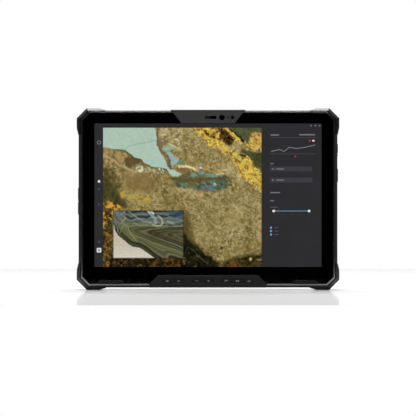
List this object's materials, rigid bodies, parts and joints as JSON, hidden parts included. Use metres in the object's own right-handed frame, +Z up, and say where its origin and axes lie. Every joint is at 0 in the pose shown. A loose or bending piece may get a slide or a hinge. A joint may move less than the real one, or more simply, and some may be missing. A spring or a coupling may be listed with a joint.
{
  "type": "rugged tablet data collector",
  "caption": "Rugged field tablet for survey data collection: large touch screen in a bevelled case with corner bumpers, front keys, port doors and batteries that lift out of the back.",
  "frame": {"origin": "on the floor, below the middle of the case, which stands on its long bottom edge", "axes": "+X along the long edge to the right as seen from the screen side, screen faces -Y, +Z up"},
  "size_m": [0.2986, 0.024, 0.2064],
  "materials": {
    "frame_paint": "satin",
    "cover_paint": "matte",
    "bumper_rubber": "matte",
    "strip_plastic": "matte",
    "key_plastic": "satin",
    "door_rubber": "matte",
    "cover_glass": "polished",
    "display": "gloss",
    "dark_lens": "gloss",
    "sheet_metal": "satin",
    "circuit_board": "satin",
    "copper": "satin",
    "gold_contacts": "satin",
    "seal_rubber": "matte",
    "light_guide": "gloss",
    "screw_steel": "satin",
    "pale_plastic": "satin",
    "battery_shell": "matte"
  },
  "bodies": {
    "case": {"front_frame": "frame_paint", "case_gasket": "seal_rubber", "rear_cover": "cover_paint", "bumper_top_left": "bumper_rubber", "bumper_top_right": "bumper_rubber", "bumper_bottom_left": "bumper_rubber", "bumper_bottom_right": "bumper_rubber", "touch_glass": "cover_glass", "lcd_panel": "display", "backlight_unit": "pale_plastic", "camera_strip": "strip_plastic", "front_camera": "dark_lens", "infrared_window": "dark_lens", "status_light": "light_guide", "button_strip": "strip_plastic", "key_membrane": "seal_rubber", "socket_left_upper": "sheet_metal", "socket_left_lower": "sheet_metal", "socket_right": "sheet_metal", "power_switch": "sheet_metal", "charge_light": "light_guide", "docking_connector": "gold_contacts", "main_board": "circuit_board", "heat_spreader": "copper", "storage_module": "circuit_board", "radio_module": "sheet_metal", "antenna_left": "copper", "antenna_right": "copper", "speaker_left": "seal_rubber", "speaker_right": "seal_rubber", "battery_contacts_left": "gold_contacts", "battery_contacts_right": "gold_contacts", "rear_camera": "dark_lens", "rear_camera_window": "dark_lens", "flash_lens": "light_guide", "screw_1": "screw_steel", "screw_2": "screw_steel", "screw_3": "screw_steel", "screw_4": "screw_steel", "screw_5": "screw_steel", "screw_6": "screw_steel", "screw_7": "screw_steel", "screw_8": "screw_steel"},
    "key_1": {"key_1": "key_plastic"},
    "key_2": {"key_2": "key_plastic"},
    "key_3": {"key_3": "key_plastic"},
    "key_4": {"key_4": "key_plastic"},
    "key_5": {"key_5": "key_plastic"},
    "key_6": {"key_6": "key_plastic"},
    "key_7": {"key_7": "key_plastic"},
    "shutter_slider": {"shutter_slider": "key_plastic"},
    "door_left_upper": {"door_left_upper": "door_rubber"},
    "door_left_lower": {"door_left_lower": "door_rubber"},
    "door_right": {"door_right": "door_rubber"},
    "power_button": {"power_button": "key_plastic"},
    "latch_left": {"latch_left": "strip_plastic"},
    "latch_right": {"latch_right": "strip_plastic"},
    "battery_left": {"battery_left": "battery_shell"},
    "battery_right": {"battery_right": "battery_shell"}
  },
  "joints": [
    {"name": "key_1_press", "type": "slide", "parent": "case", "child": "key_1", "axis": [0, 1, 0], "range_m": [0, 0.0008], "stiffness_N_per_m": 400},
    {"name": "key_2_press", "type": "slide", "parent": "case", "child": "key_2", "axis": [0, 1, 0], "range_m": [0, 0.0008], "stiffness_N_per_m": 400},
    {"name": "key_3_press", "type": "slide", "parent": "case", "child": "key_3", "axis": [0, 1, 0], "range_m": [0, 0.0008], "stiffness_N_per_m": 400},
    {"name": "key_4_press", "type": "slide", "parent": "case", "child": "key_4", "axis": [0, 1, 0], "range_m": [0, 0.0008], "stiffness_N_per_m": 400},
    {"name": "key_5_press", "type": "slide", "parent": "case", "child": "key_5", "axis": [0, 1, 0], "range_m": [0, 0.0008], "stiffness_N_per_m": 400},
    {"name": "key_6_press", "type": "slide", "parent": "case", "child": "key_6", "axis": [0, 1, 0], "range_m": [0, 0.0008], "stiffness_N_per_m": 400},
    {"name": "key_7_press", "type": "slide", "parent": "case", "child": "key_7", "axis": [0, 1, 0], "range_m": [0, 0.0008], "stiffness_N_per_m": 400},
    {"name": "shutter_slide", "type": "slide", "parent": "case", "child": "shutter_slider", "axis": [1, 0, 0], "range_m": [0, 0.0066]},
    {"name": "door_left_upper_hinge", "type": "hinge", "parent": "case", "child": "door_left_upper", "pos_m": [-0.14715, 0.0053, 0.10865], "axis": [0, 0, -1], "range_deg": [0, 110]},
    {"name": "door_left_lower_hinge", "type": "hinge", "parent": "case", "child": "door_left_lower", "pos_m": [-0.14715, 0.0053, 0.0929], "axis": [0, 0, -1], "range_deg": [0, 110]},
    {"name": "door_right_hinge", "type": "hinge", "parent": "case", "child": "door_right", "pos_m": [0.14715, 0.0053, 0.1301], "axis": [0, 0, 1], "range_deg": [0, 110]},
    {"name": "power_press", "type": "slide", "parent": "case", "child": "power_button", "axis": [-1, 0, 0], "range_m": [0, 0.0006], "stiffness_N_per_m": 500},
    {"name": "latch_left_slide", "type": "slide", "parent": "case", "child": "latch_left", "axis": [-1, 0, 0], "range_m": [0, 0.004], "stiffness_N_per_m": 120},
    {"name": "latch_right_slide", "type": "slide", "parent": "case", "child": "latch_right", "axis": [1, 0, 0], "range_m": [0, 0.004], "stiffness_N_per_m": 120},
    {"name": "battery_left_lift", "type": "slide", "parent": "case", "child": "battery_left", "axis": [0, 1, 0], "range_m": [0, 0.012]},
    {"name": "battery_right_lift", "type": "slide", "parent": "case", "child": "battery_right", "axis": [0, 1, 0], "range_m": [0, 0.012]}
  ]
}
